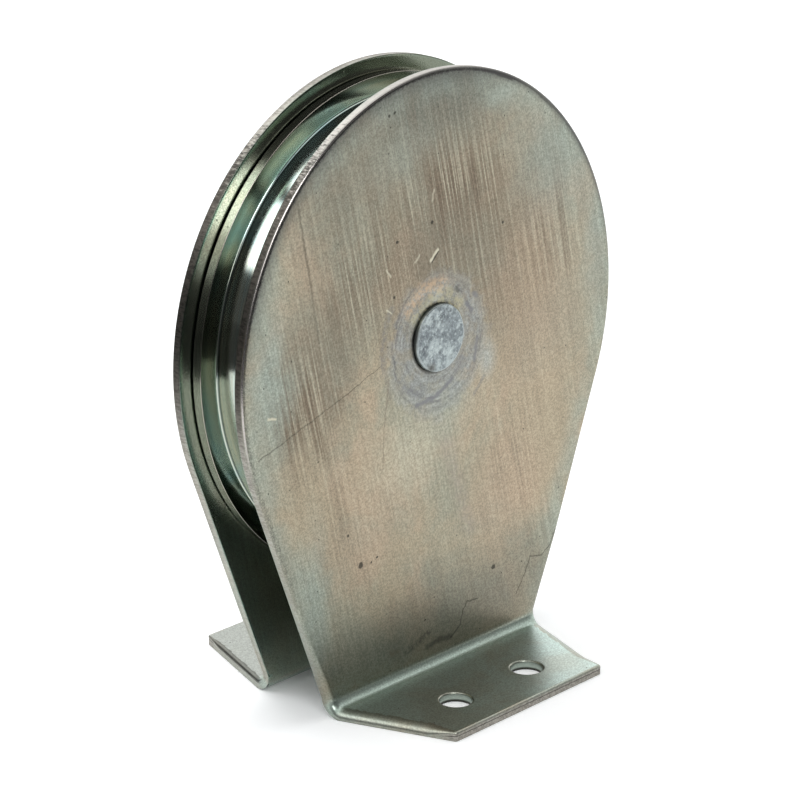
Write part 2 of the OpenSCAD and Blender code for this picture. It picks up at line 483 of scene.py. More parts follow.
def facePatches(side, roll):
    # outer and inner face: a star of points round the pin hole, a strip round the bend and
    # two mirrored stars round the bolt holes
    base, bendAt, plateAt = sideChain(0)
    step = sideChain(1)[0] - base
    across = np.linspace(-1, 1, 49)
    rightHalf = across[len(across) // 2:]
    wall = holeProfile()
    patches = []
    rims = {"pin": [], "right": [], "left": []}
    for inset, lip, height in ((roll[:, :1], wall[0, 0], sheet), (plate["burr"], wall[-1, 0], 0)):
        chain = base + step * inset
        upper = chain[plateAt:]
        sill = across[1:-1, None] * chain[plateAt] * [1, 0] + chain[plateAt] * [0, 1]
        border = np.concatenate([upper, mirrored(upper[-2::-1]), sill])
        uv = spread(axlePoint, plate["pinHole"] / 2 + lip, border, faceBands(18, 24))
        lift = dented(uv[..., 0], uv[..., 1]) if height else 0
        patches.append((blankPatch(side, uv, height + lift), True))
        rims["pin"].append(uv[0])
        strip = chain[bendAt:plateAt + 1]
        bend = across[None, :, None] * strip[:, None] * [1, 0] + strip[:, None] * [0, 1]
        patches.append((blankPatch(side, bend, height), False))
        top = rightHalf[:, None] * chain[bendAt] * [1, 0] + chain[bendAt] * [0, 1]
        spine = np.linspace(top[0], chain[0], 18)
        border = np.concatenate([chain[:bendAt], top[::-1], spine[1:-1]])
        uv = spread(boltPoint, plate["boltHole"] / 2 + lip, border, faceBands(6, 12))
        for name, half in (("right", uv), ("left", mirrored(uv))):
            patches.append((blankPatch(side, half, height), True))
            rims[name].append(half[0])
    return patches, rims


def edgePatch(side, roll):
    # the punched edge all round: a rolled lip, a straight cut that tears, and a small burr side
    base = sideChain(0)[0]
    step = sideChain(1)[0] - base
    turn = np.linspace(0, math.pi / 2, 10)[:, None]
    width, depth = roll[:, 0], roll[:, 1]
    burr = plate["burr"]
    lipIn = width * (1 - np.sin(turn))
    lipHeight = sheet - depth * (1 - np.cos(turn))
    share = np.array([0.5, 0.9, 1.0, 1.8, 3.0])[:, None] * plate["tearStart"]
    cutIn = np.array([0, 0, 1.0, 0.5, 0.2])[:, None] * plate["tear"] + 0 * width
    cutHeight = (sheet - depth) + (burr + 0.05 - sheet + depth) * share
    footTurn = turn[::3]
    footIn = burr * (1 - np.cos(footTurn)) + 0 * width
    footHeight = burr * (1 - np.sin(footTurn)) + 0 * width
    insets = np.concatenate([lipIn, cutIn, footIn])
    heights = np.concatenate([lipHeight, cutHeight, footHeight])
    raw = np.concatenate([np.linspace(0, 1, 10) ** 3, np.ones(5), np.linspace(1, 0, 4)])
    walls = raw[:, None] * cutAlong()
    tears = np.concatenate([np.zeros((10, 1)), share, np.ones((4, 1))])
    ring = base + step * insets[..., None]
    edge = np.stack([bothHalves(line) for line in ring])
    heights = np.stack([bothHalves(line[:, None])[:, 0] for line in heights])
    walls = np.stack([bothHalves(line[:, None])[:, 0] for line in walls])
    return blankPatch(side, edge, heights, walls, tears, 0), True


def holePatches(side, rims):
    # walls of the pin hole and the two bolt holes, from the outer rim to the inner one
    wall = holeProfile()
    holes = [
        ("pin", "pinHole", axlePoint),
        ("right", "boltHole", boltPoint),
        ("left", "boltHole", mirrored(boltPoint)),
    ]
    patches = []
    for name, size, centre in holes:
        rays = rims[name][0] - centre
        rays = rays / np.linalg.norm(rays, axis=1, keepdims=True)
        ring = centre + rays[None] * (plate[size] / 2 + wall[:, :1])[..., None]
        ring[0], ring[-1] = rims[name]
        height = wall[:, 1:]
        if name == "pin":
            height = height + dented(ring[..., 0], ring[..., 1]) * np.linspace(1, 0, len(wall))[:, None]
        patches.append((blankPatch(side, ring, height, 0, 1 - wall[:, 1:] / sheet, 0), True))
    return patches


def platePatches(side, rollScale):
    # all surfaces of one plate; the rear one's edge is rolled less
    roll = rollAlong(rollScale)
    patches, rims = facePatches(side, roll)
    return patches + [edgePatch(side, roll)] + holePatches(side, rims)


zinc = {
    "warm": (0.441, 0.378, 0.27),
    "grey": (0.378, 0.373, 0.288),
    # slate: at the head's top partly the plate's own tone and partly painted shade; above the bend painted shade
    "slateShade": (0.172, 0.181, 0.152),
    "umber": (0.189, 0.163, 0.123),
    "pale": (0.552, 0.524, 0.405),
    "pink": (0.513, 0.396, 0.284),
    "teal": (0.368, 0.437, 0.386),
    "brown": (0.185, 0.145, 0.105),
    "plum": (0.30, 0.255, 0.225),
    "smear": (0.36, 0.385, 0.375),
    "olive": (0.46, 0.43, 0.27),
    "orange": (0.58, 0.40, 0.24),
    "cut": (0.38, 0.365, 0.325),
    "cutLow": (0.22, 0.205, 0.18),
    # painted highlight on the cut towards the top
    "cutTopHighlight": (0.60, 0.58, 0.55),
    "cutBrown": (0.060, 0.051, 0.044),
    "cutBlack": (0.022, 0.019, 0.017),
    "burnish": (0.74, 0.69, 0.66),     # burnished rolled edge of the head, with a painted highlight line
    # painted shade along the head's rims, with grainy dark specks
    "dirtAndShade": (0.055, 0.053, 0.052),
    "lilac": (0.17, 0.172, 0.18),
    "dark": (0.035, 0.032, 0.028),
    "foot": (0.64, 0.78, 0.73),
    "toe": (0.41, 0.435, 0.40),        # foot of the rear plate
    "rear": (0.50, 0.53, 0.47),
    "mist": (0.33, 0.375, 0.33),
    "bendShade": (0.20, 0.205, 0.175),      # painted shade above the bend
    # painted highlight along the bend
    "bendHighlight": (0.50, 0.62, 0.55),
    "smearDark": (0.22, 0.23, 0.23),
    "smudge": (0.42, 0.47, 0.46),      # beside the staked ring
    "grain": (0.42, 0.42, 0.41),
    "innerCast": (0.66, 0.88, 0.82),
    "innerShade": (0.14, 0.15, 0.11),
    "lean": 13.0,                      # degrees that the rolling streaks lean from upright
    "roughness": 0.34,
}

# tinted areas of the face: colour, middle and half size in mm (across, up), strength
faceTints = [
    # slate at the top: partly the plate's own tone, partly painted shade
    ("slateShade", (2, 182), (66, 34), 1.0),
    ("slateShade", (-40, 160), (36, 30), 0.6),
    ("teal", (-14, 165), (26, 16), 0.3),
    ("mist", (52, 152), (34, 34), 0.75),
    ("teal", (30, 176), (22, 13), 0.6),
    ("mist", (74, 122), (12, 40), 0.7),
    ("umber", (6, 134), (66, 56), 0.68),
    ("umber", (-47, 112), (24, 44), 0.55),
    ("teal", (-69, 108), (15, 36), 0.9),
    ("teal", (-53, 38), (10, 36), 0.7),
    ("pink", (45, 108), (36, 46), 0.6),
    ("umber", (38, 106), (30, 30), 0.2),
    ("pink", (34, 52), (28, 30), 0.75),
    ("pink", (-34, 52), (22, 22), 0.45),
    ("pale", (-12, 74), (26, 20), 0.6),
    ("teal", (4, 84), (20, 14), 0.45),
    # slate above the bend: painted shade
    ("slateShade", (14, 16), (62, 30), 0.6),
]
# areas with dark rolling streaks: middle, half size, strength
streakAreas = [
    ((2, 134), (96, 66), 0.5),
    ((8, 150), (44, 30), 1.0),
    ((-30, 130), (32, 28), 0.85),
    ((-54, 98), (24, 44), 0.85),
    ((50, 128), (34, 40), 0.5),
    ((36, 62), (30, 36), 0.35),
    ((-44, 60), (20, 40), 0.35),
]
# marks on the face: points in mm (across, up), half width, colour, strength
faceMarks = [
    ([(-74, 88), (-41, 98), (-24, 104)], 0.07, "dark", 0.5),
    ([(-20.8, 99), (-23, 84), (-23.4, 72)], 0.12, "brown", 0.5),
    ([(55.4, 30.7), (52.6, 25.8), (48.8, 23.9), (43.5, 25.1), (40.7, 19.5), (37, 14.3)], 0.12, "dark", 0.6),
    ([(19.1, 18.4), (14, 18.9), (12.2, 16.5), (10.9, 12), (6.8, 9.3)], 0.12, "dark", 0.6),
    ([(-57, 157), (-53, 136), (-49.4, 117)], 0.25, "dark", 0.4),
    ([(4, 74), (10, 57), (15, 43)], 2.2, "plum", 0.35),
    ([(-4, 9.4), (1, 10.2), (6.5, 9.6)], 0.7, "dark", 0.5),
    ([(-13, 10.8), (-7, 12.5), (-3, 14)], 0.9, "dark", 0.5),
    ([(-20, 12.5), (-17, 11.6)], 0.9, "brown", 0.6),
    ([(0, 133.6), (-3.0, 131)], 0.35, "pale", 0.9),
    ([(0.3, 133), (-2.8, 130.4)], 0.12, "dark", 0.9),
    ([(-21.8, 132), (-20, 129.6)], 0.16, "pale", 0.6),
    ([(-9.8, 132), (-8, 133.6)], 0.2, "pale", 0.5),
    ([(-21.7, 120), (-19.8, 118.7)], 0.16, "pale", 0.8),
    ([(-1.8, 152), (-2.6, 149)], 0.2, "pale", 0.5),
    ([(-70, 99.3), (-67, 98.7)], 0.2, "pale", 0.9),
    ([(-12, 118), (-5.8, 123), (2, 123)], 2.0, "orange", 0.5),
    ([(-9, 115), (-2, 119), (5, 119), (9, 115)], 2.2, "olive", 0.5),
    ([(-19.7, 120), (-22, 115.5), (-23.6, 108), (-23, 102)], 0.9, "lilac", 0.45),
    ([(-14, 94.5), (-7, 91.5)], 1.3, "lilac", 0.6),
    ([(-9, 88), (-1.3, 88.8), (1.3, 89.7), (6.6, 92.6)], 0.6, "lilac", 0.8),
    ([(8.4, 95), (11, 98.2)], 1.0, "lilac", 0.5),
    ([(17.5, 103), (16.6, 96)], 0.5, "lilac", 0.7),
    ([(12.8, 114.7), (15.3, 112)], 0.45, "lilac", 0.8),
    ([(8.4, 120.5), (8.9, 119.5)], 0.5, "dark", 0.5),
    ([(15.6, 117.2), (17, 116.2)], 0.5, "lilac", 0.7),
    ([(20.8, 90), (16.4, 85.3)], 0.4, "lilac", 0.4),
]
# pits: place and radius in mm
facePits = [
    ((-32.9, 44.7), 0.95), ((-28.6, 44.4), 0.4), ((-26.1, 45.2), 0.42), ((-38.3, 55.4), 0.4),
    ((25.9, 26.6), 0.8), ((-17.4, 139.7), 0.5), ((-18.7, 123.5), 0.45), ((-5, 18.6), 0.35),
    ((-2.6, 142.3), 0.6), ((-18.3, 177.6), 0.5), ((-20.6, 177.2), 0.4), ((28.7, 136.2), 0.5),
]


def softSpot(plane, middle, size):
    # 1 in the middle of an ellipse, easing to 0 at its rim
    away = plane.vector("SUBTRACT", (*middle, 0)).vector("MULTIPLY", (1 / size[0], 1 / size[1], 0))
    return away.vector("LENGTH", out=1).ease(1, 0)


def drawnLine(plane, points, half):
    # 1 on a polyline, easing to 0 past its half width: the nearest of its stretches counts
    mask = None
    for start, end in zip(points[:-1], points[1:]):
        run = (end[0] - start[0], end[1] - start[1], 0)
        away = plane.vector("SUBTRACT", (*start, 0))
        share = (away.vector("DOT_PRODUCT", run, 1) / (run[0] ** 2 + run[1] ** 2)).most(0).least(1)
        nearest = share.packed(*run).stretched(share)
        part = away.vector("SUBTRACT", nearest).vector("LENGTH", out=1).ease(half * 1.9 + 0.2, half * 0.3)
        mask = part if mask is None else mask.most(part)
    return mask


def shifted(flat, scale, reach):
    # the face's place, pushed about by noise so that painted shapes get ragged rims
    push = flat.node("ShaderNodeTexNoise", None, {"Vector": flat, "Scale": scale, "Detail": 3.0}, 1)
    push = push.vector("SUBTRACT", (0.5, 0.5, 0.5)).stretched(reach)
    return flat.vector("ADD", push).vector("MULTIPLY", (1, 1, 0))


def plateFields(place, seed):
    # what the paint is made of: places on the folded sheet in mm, noises and the mesh's own layers
    face = SimpleNamespace(place=place)
    face.x, face.y, face.z = place.axes()
    face.along = face.z + innerY + sheet - abs(face.y)    # up the plate, and out along the foot below 0
    face.upright = face.z - axleZ
    face.radius = (face.x * face.x + face.upright * face.upright) ** 0.5
    face.turn = face.upright.math("ARCTAN2", face.upright, face.x)
    face.flat = place.packed(face.x, face.along, seed)
    face.wide = shifted(face.flat, 0.07, 18.0)
    face.near = shifted(face.flat, 0.5, 1.2)
    lean = math.radians(zinc["lean"])
    cross = face.x * math.cos(lean) + face.along * math.sin(lean)
    down = face.along * math.cos(lean) - face.x * math.sin(lean)
    face.bands = place.packed(cross * 0.17, down * 0.015, seed).noise(1.0, 3, 0.6)
    face.fine = place.packed(cross * 1.1, down * 0.022, seed + 3).noise(1.0, 2, 0.6)
    face.cloud = face.flat.noise(0.022, 4, 0.6, 0.4).ease(0.38, 0.62)
    face.blush = face.flat.vector("ADD", (70, 20, 9)).noise(0.035, 4, 0.6, 0.6).ease(0.46, 0.66)
    face.grain = place.noise(1.9, 3, 0.8)
    face.patchy = place.noise(0.25, 3, 0.6)
    face.swirl = place.packed(face.radius * 0.8, face.turn * 1.6, seed).noise(1.0, 3, 0.65)
    face.torn = place.packed(face.x, face.y * 0.25, face.z).noise(1.5, 3, 0.75)
    face.wall, face.tear, face.rim = (place.layer(name) for name in faceLayers)
    return face


def plateMasks(face):
    # masks that colour, gloss and relief share
    face.above = face.along.ease(4, 16)
    face.footward = face.along.ease(6, -1)
    face.outer = abs(face.y).ease(innerY + sheet - 0.9, innerY + sheet - 0.4)
    face.inner = abs(face.y).ease(innerY + 0.6, innerY + 0.1)
    # rolling streaks, strongest in their areas
    field = face.cloud * 0.15 + 0.12
    for middle, size, strength in streakAreas:
        field = field.most(softSpot(face.wide, middle, size) * strength)
    face.field = field * face.above
    face.streaks = (face.bands.ease(0.44, 0.62) * 0.5 + face.fine.ease(0.38, 0.64) * 0.75) * face.field
    # the ring that the staking tool smeared, and its dents
    face.smear = (face.radius + face.patchy * 14 + face.upright * 0.12).ease(31, 25) * face.outer
    face.dent = abs(face.radius + face.patchy * 9 - 24).ease(1.4, 0.2) * face.swirl.ease(0.5, 0.64)
    # small pits, in some of the cells
    cells = {"Vector": face.flat, "Scale": 0.1}
    away = face.flat.node("ShaderNodeTexVoronoi", {"voronoi_dimensions": "2D"}, cells)
    pick = away.sibling(1).axes()[0]
    face.sunk = away.ease(0.035, 0.012) * (pick + face.rim.ease(14, 2) * 0.3).ease(0.7, 0.9)
    # the rolled lip, and the stretch of it that is burnished and carries a painted highlight
    face.lip = face.rim.ease(0.2, 0) * face.wall.ease(0.6, 0.2) * face.tear.ease(0.02, 0)
    face.burnished = face.lip * face.wall.ease(0.03, 0.10) * face.upright.ease(-30, 0) * face.x.ease(0, -30)


def baseTones(face, marked):
    # two tones in clouds, a blush, then the front's tinted areas or the rear's even tone, and the foot
    colour = face.cloud.tint(zinc["warm"], zinc["grey"])
    colour = (face.blush * 0.5).tint(colour, zinc["pink"])
    if marked:
        for tone, middle, size, strength in faceTints:
            colour = (softSpot(face.wide, middle, size) * strength).tint(colour, zinc[tone])
    else:
        colour = (face.cloud * 0.3 + 0.5).tint(colour, zinc["rear"])
    edgeTint = face.rim.ease(12, 1) * face.flat.noise(0.06, 2).ease(0.3, 0.6)
    colour = (edgeTint * 0.5).tint(colour, zinc["teal"])
    worn = face.footward * (face.blush * -0.3 + 0.95) * (face.rim.ease(0.2, 1.2) * 0.7 + 0.3)
    return worn.tint(colour, zinc["foot" if marked else "toe"])


def rollingStreaks(face, colour):
    # dark and pale streaks up the sheet, painted shade above the bend and a painted highlight along it
    colour = face.streaks.least(0.9).tint(colour, zinc["brown"])
    colour = (face.fine.ease(0.48, 0.33) * face.field * 0.6).tint(colour, zinc["pale"])
    # painted shade above the bend
    bendShade = face.along.ease(40, 5) * face.above * (face.cloud * 0.3 + 0.2)
    colour = bendShade.tint(colour, zinc["bendShade"])
    # painted highlight along the bend
    return (abs(face.along - 2.6).ease(4.2, 1.4) * 0.8).tint(colour, zinc["bendHighlight"])


def stakedRing(face, colour, marked):
    # the smeared ring, a smudge beside it, its dents and painted shade in the gap round the pin
    smeared = face.swirl.ease(0.35, 0.68).tint(zinc["smear"], zinc["smearDark"])
    colour = (face.smear * (face.patchy.ease(0.35, 0.6) * 0.4 + 0.4)).tint(colour, smeared)
    if marked:
        colour = (softSpot(face.near, (22, 95), (6, 9)) * 0.6).tint(colour, zinc["smudge"])
    colour = (face.dent * face.outer * 0.5).tint(colour, zinc["lilac"])
    # painted shade in the gap round the pin
    return (face.radius.ease(11.6, 10.6) * face.outer * 0.75).tint(colour, zinc["dark"])


def pitsAndMarks(face, colour, marked):
    # grain all over, dark pits, and on the front the drawn marks, the broad ones flaky
    colour = (face.grain.ease(0.36, 0.64) * 0.62).tint(colour, zinc["grain"], "MULTIPLY")
    pits = face.sunk
    if marked:
        for middle, size in facePits:
            pits = pits.most(softSpot(face.near, middle, (size * 1.6, size * 1.6)).ease(0.1, 0.5))
    colour = (pits * face.outer * 0.85).tint(colour, zinc["dark"])
    if marked:
        flaky = face.place.noise(0.9, 3, 0.75).ease(0.38, 0.6)
        for points, half, tone, strength in faceMarks:
            mark = drawnLine(face.near, points, half) * face.outer * strength
            mark = mark * (flaky * 0.9 + 0.1) if half > 0.8 else mark
            colour = mark.tint(colour, zinc[tone])
    return colour


def rimShadeAndGlint(face, colour):
    # painted shade along both sides of the head, with grainy dark specks, the burnished lip with its painted
    # highlight, and the walls of the holes with painted shadow at their lower end and under the edge's burr
    # painted shade along both sides of the head, with grainy dark specks
    leftward = (face.upright * 0.6 - face.x).ease(0, 40) * face.along.ease(30, 60)
    border = face.rim.ease(7, 0.5) * 0.55 * face.upright.ease(0, 30)
    border = border + face.rim.ease(2.4, 0.4) * face.grain.ease(0.3, 0.6) * 0.4
    rightward = face.rim.ease(3.2, 0.2) * face.x.ease(10, 30) * face.upright.ease(0, 50) * 0.8
    colour = ((border * leftward + rightward).least(0.95) * face.outer).tint(colour, zinc["dirtAndShade"])
    # painted highlight on the burnished lip
    colour = (face.burnished * 0.9).tint(colour, zinc["burnish"])
    bored = face.wall.ease(0.3, 0)
    colour = (face.tear.ease(0.05, 0.25) * bored * 0.8).tint(colour, zinc["teal"])
    # painted shadow at the lower end of the hole walls and under the edge's burr
    return (face.tear.ease(0.62, 0.8) * bored * 0.95).tint(colour, zinc["dark"])


def cutEdge(face, colour, marked):
    # stripes across the cut, a painted highlight at the top, darker and browner on the left (partly brown stain,
    # partly painted shade), painted shade over the rear foot's rolled lip, and on the foot a dark line at the tear
    cut = face.torn.ease(0.40, 0.62).tint(zinc["cut"], zinc["cutLow"])
    # painted highlight: the cut is paler towards the top
    cut = (face.upright.ease(45, 75) * (0.6 if marked else 0.1)).tint(cut, zinc["cutTopHighlight"])
    # darker and browner where the cut faces left: partly brown stain, partly painted shade
    stainedAndShaded = (abs(face.turn) + (face.torn - 0.5) * 1.2).ease(2.1, 2.4) * face.upright.ease(-24, 4)
    cut = (stainedAndShaded * 0.9).tint(cut, face.torn.ease(0.45, 0.6).tint(zinc["cutBrown"], zinc["cutBlack"]))
    colour = (face.wall * 0.95).tint(colour, cut)
    ragged = face.flat.noise(0.5, 2) * 0.16
    line = abs(face.tear + ragged - plate["tearStart"] - 0.08).ease(0.11, 0.03)
    line = line * face.wall.ease(0.2, 0.9) * face.along.ease(20, 4)
    colour = (line * 0.85).tint(colour, zinc["dark"])
    # painted shade over the rear foot's rolled lip
    if not marked:
        colour = (face.lip * face.footward * 0.7).tint(colour, zinc["dark"])
    return colour


def innerFace(face, colour):
    # a green cast on the inner side, and shade at its top
    colour = (face.inner * 0.55).tint(colour, zinc["innerCast"], "MULTIPLY")
    shade = abs(face.x).ease(60, 30) * 0.3 + face.x.ease(-25, 5) * 0.45
    return (face.inner * face.upright.ease(40, 74) * shade).tint(colour, zinc["innerShade"])


def plateMaterial(name, seed, marked):
    # coats of paint from the base tones to the inner side, then gloss and relief; marked is the front
    material, shader, place = newMaterial(name)
    face = plateFields(place, seed)
    plateMasks(face)
    colour = baseTones(face, marked)
    colour = rollingStreaks(face, colour)
    colour = stakedRing(face, colour, marked)
    colour = pitsAndMarks(face, colour, marked)
    colour = rimShadeAndGlint(face, colour)
    colour = cutEdge(face, colour, marked)
    colour = innerFace(face, colour)
    rough = zinc["roughness"] + (face.grain - 0.5) * 0.15 + face.wall * 0.1 + face.streaks * 0.05
    rough = rough - face.inner * face.along.ease(40, 100) * 0.17 - face.burnished * 0.15
    drawn = face.above * (face.along.ease(45, 110) * 0.35 + 0.15)
    height = face.grain * (0.7 + face.footward * 0.6) + face.fine * drawn * 0.8 + face.wall * face.torn * 1.6
    height = height - face.sunk * 3 - face.dent * 1.5 - face.smear * face.swirl
    feed(shader, {
        "Base Color": colour,
        "Metallic": 1.0,
        "Roughness": rough,
        "Normal": bumped(height, 0.3, 0.06),
    })
    return material


def makePlates():
    # name, node, side, share of the rolled edge and seed of its noises
    sides = [
        ("front_side_plate", "front_plate", -1, 1.0, 0.0),
        ("rear_side_plate", "rear_plate", 1, 0.45, 40.0),
    ]
    for name, node, side, rollScale, seed in sides:
        finish = plateMaterial(name + "_zinc", seed, side < 0)
        patches = platePatches(side, rollScale)
        makePiece(name, patches, faceLayers, 40, finish, "bracket", [node])


makePlates()


# axle pin

pin = {
    "radius": 10.0,
    "stakeRadius": 10.3,
    "end": 15.4,
    "edge": 0.5,
    "dents": 60,
    "dentDepth": 0.16,
    "steel": (0.40, 0.45, 0.45),
    "shade": (0.22, 0.25, 0.26),
    "fleck": (0.08, 0.09, 0.10),
    "bright": (0.60, 0.66, 0.65),
    "dirtAndShade": (0.07, 0.06, 0.05),    # at its lower left
    "roughness": 0.32,
}


def hammered(x, z, side):
    # sum of round dents scattered over the pin's end
    random = np.random.default_rng(11 if side < 0 else 12)
    reach = pin["stakeRadius"] * np.sqrt(random.random(pin["dents"]))
    turn = random.random(pin["dents"]) * 2 * math.pi
    size = random.uniform(0.7, 2.0, pin["dents"])
    deep = random.uniform(0.2, 1.0, pin["dents"]) * pin["dentDepth"]
    away = (x[..., None] - reach * np.cos(turn)) ** 2 + (z[..., None] - reach * np.sin(turn)) ** 2
    return -(deep * np.exp(-away / size ** 2)).sum(axis=-1)


def pinPatches():
    # half a profile from the end's middle over the spread lip to the shank, mirrored and turned
    outer = innerY + sheet
    end, edge, stake = pin["end"], pin["edge"], pin["stakeRadius"]
    turn = np.linspace(0, math.pi / 2, 6)
    lip = np.stack([stake - edge + edge * np.sin(turn), end - edge + edge * np.cos(turn)], axis=1)
    flat = np.stack([np.linspace(0, stake - edge, 30)[:-1], np.full(29, end)], axis=1)
    rest = [[stake, outer + 0.2], [stake - 0.1, outer], [pin["radius"], outer], [pin["radius"], 0]]
    half = np.concatenate([flat, lip, rest])
    profile = np.concatenate([half, (half * [1, -1])[-2::-1]])
    grid = revolve(profile, 128)
    x, y, z = grid[..., 0], grid[..., 1], grid[..., 2]
    for side in (-1, 1):
        top = np.clip((side * y - outer - 0.4) / (end - outer - 0.8), 0, 1)
        y = y + side * top * hammered(x, z - axleZ, side)
    return [(np.stack([x, y, z], axis=-1), True)]


def pinMaterial():
    # broad shade, flecks, dark blotches, a painted highlight on the rim in places and dirt below
    material, shader, place = newMaterial("pin_hammered_steel")
    flecks = place.noise(1.1, 3, 0.7)
    broad = place.noise(0.22, 3, 0.6)
    x, y, z = place.axes()
    end = place.packed(x, z - axleZ, 0.0)
    colour = broad.ease(0.40, 0.58).tint(pin["steel"], pin["shade"])
    colour = (softSpot(end, (3.5, 5), (6, 5)) * 0.6).tint(colour, pin["shade"])
    colour = (flecks.ease(0.52, 0.68) * 0.55).tint(colour, pin["fleck"])
    colour = (flecks.ease(0.46, 0.34) * 0.5).tint(colour, pin["bright"])
    blotch = softSpot(end, (1, 7), (9, 5)).most(softSpot(end, (-7.5, 0), (3, 8)))
    colour = (blotch * place.noise(0.45, 3, 0.7).ease(0.46, 0.56) * 0.8).tint(colour, pin["fleck"])
    # painted highlight on the pin's rim in places
    rimHighlight = end.vector("LENGTH", out=1).ease(9.6, 10.0) * broad.ease(0.38, 0.55)
    colour = (rimHighlight * 0.5).tint(colour, pin["bright"])
    colour = (softSpot(end, (-4, -8.3), (3.2, 2.4)) * 0.8).tint(colour, pin["dirtAndShade"])
    feed(shader, {
        "Base Color": colour,
        "Metallic": 1.0,
        "Roughness": pin["roughness"] + flecks * 0.2,
        "Normal": bumped(flecks, 0.4, 0.15),
    })
    return material


makePiece("staked_axle_pin", pinPatches(), [], 50, pinMaterial(), "bracket", ["axle_pin"])


# sheave

sheave = {
    "radius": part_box("sheave")[1].x / mm,
    "half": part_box("sheave")[1].y / mm,
    "grooveRadius": 70.0,
    "grooveHalf": 6.4,
    "dish": 0.15,              # the groove's floor is this much lower in the middle
    "wallAngle": 9.0,
    "grooveFillet": 0.7,
    "rimEdge": 0.35,
    "mouthEdge": 0.15,
    "seatRadius": 23.52,
    "shoulder": 3.0,
    "bearingHalf": 7.0,
    "slotDepth": 1.2,
    "slotWidth": 1.75,
    "zinc": (0.52, 0.59, 0.52),
    "straw": (0.60, 0.54, 0.42),
    "blue": (0.37, 0.56, 0.59),
    "turned": (0.20, 0.25, 0.25),
    "speck": (0.16, 0.20, 0.21),
    # painted shade in the groove's corners
    "corner": (0.06, 0.075, 0.07),
    "wall": (0.16, 0.18, 0.14),
    "land": (0.55, 0.48, 0.44),    # the rims' outer faces
    "roughness": 0.11,
}
wallSlope = math.tan(math.radians(sheave["wallAngle"]))
grooveMouth = sheave["grooveHalf"] + (sheave["radius"] - sheave["grooveRadius"]) * wallSlope


def sheavePatches():
    # the closed profile of rims, groove, bearing seat and ring slot, its floor dished, turned about the axle
    half, rim, floor = sheave["half"], sheave["radius"], sheave["grooveRadius"]
    groove, mouth = sheave["grooveHalf"], grooveMouth
    seat, stop = sheave["seatRadius"], sheave["bearingHalf"]
    slotOut, slotEnd = seat + sheave["slotDepth"], -stop - sheave["slotWidth"]
    edge, lip, fillet, small = sheave["rimEdge"], sheave["mouthEdge"], sheave["grooveFillet"], 0.15
    corners = [
        (seat, -half, 0.4), (rim, -half, edge), (rim, -mouth, lip), (floor, -groove, fillet),
        (floor, groove, fillet), (rim, mouth, lip), (rim, half, edge), (seat - sheave["shoulder"], half, 0.4),
        (seat - sheave["shoulder"], stop, 0.3), (seat, stop, small), (seat, -stop, small),
        (slotOut, -stop, small), (slotOut, slotEnd, small), (seat, slotEnd, small),
    ]
    corners = np.array(corners)
    profile = roundedProfile(corners[:, :2], corners[:, 2], 7, 0.12)
    level = groove - fillet - 0.3
    across = np.stack([np.full(11, floor), np.linspace(-level, level, 11)], axis=1)
    profile = np.concatenate([profile[:40], across, profile[40:], profile[:1]])
    radius, along = profile.T
    low = np.clip(1 - (radius - floor) / 2, 0, 1) * (np.abs(along) < groove + 0.3)
    profile[:, 0] = radius + low * sheave["dish"] * ((along / groove) ** 2 - 0.5)
    return [(revolve(profile, 384), True)]


def sheaveMaterial():
    # turned rings and clouds of colour, specks, painted shade in the groove corners, dark groove walls, pale lands
    material, shader, place = newMaterial("sheave_turned_zinc")
    floor, rim = sheave["grooveRadius"], sheave["radius"]
    x, y, z = place.axes()
    height = z - axleZ
    radius = (x * x + height * height) ** 0.5
    lathe = place.packed(radius, y, 0.0)
    turned = lathe.noise(3.0, 3, 0.7)
    rings = lathe.noise(0.55, 2, 0.6)
    cloud = place.noise(0.03, 3, 0.5, 0.5)
    specks = place.noise(1.1, 2, 0.6)
    colour = (rings.ease(0.42, 0.62) * 0.6).tint(sheave["zinc"], sheave["straw"])
    colour = (cloud.ease(0.45, 0.65) * 0.8).tint(colour, sheave["blue"])
    colour = (turned.ease(0.48, 0.7) * 0.45).tint(colour, sheave["turned"])
    colour = (specks.ease(0.62, 0.72) * 0.5).tint(colour, sheave["speck"])
    # painted shade in the groove's corners
    corner = abs(abs(y) - sheave["grooveHalf"] + 0.7).ease(0.6, 0.25) * radius.ease(floor + 1, floor + 0.4)
    colour = (corner * 0.7).tint(colour, sheave["corner"])
    wall = radius.ease(floor + 0.4, floor + 1) * abs(y).ease(grooveMouth + 0.23, grooveMouth + 0.03)
    colour = (wall * (0.4 + radius.ease(rim - 2.5, rim - 0.9) * 0.4)).tint(colour, sheave["wall"])
    land = radius.ease(rim - 0.4, rim - 0.2) * abs(y).ease(grooveMouth - 0.07, grooveMouth + 0.13)
    colour = (land * 0.8).tint(colour, sheave["land"])
    feed(shader, {
        "Base Color": colour,
        "Metallic": 1.0,
        "Roughness": sheave["roughness"] + (turned - 0.5) * 0.08,
        "Normal": bumped(turned, 0.12, 0.02),
    })
    return material


makePiece("turned_sheave", sheavePatches(), [], 50, sheaveMaterial(), "wheel", ["sheave"])


# bearing and the other hidden pieces

# finish of each slot: colour, metallic, roughness
hidden = {
    "bearing_steel": ((0.62, 0.63, 0.64), 1.0, 0.16),
    "cage_polymer": ((0.045, 0.048, 0.052), 0.0, 0.45),
    "shield_steel": ((0.50, 0.52, 0.53), 1.0, 0.28),
    "spacer_steel": ((0.46, 0.47, 0.44), 1.0, 0.35),
    "spring_steel": ((0.16, 0.16, 0.165), 1.0, 0.42),
}


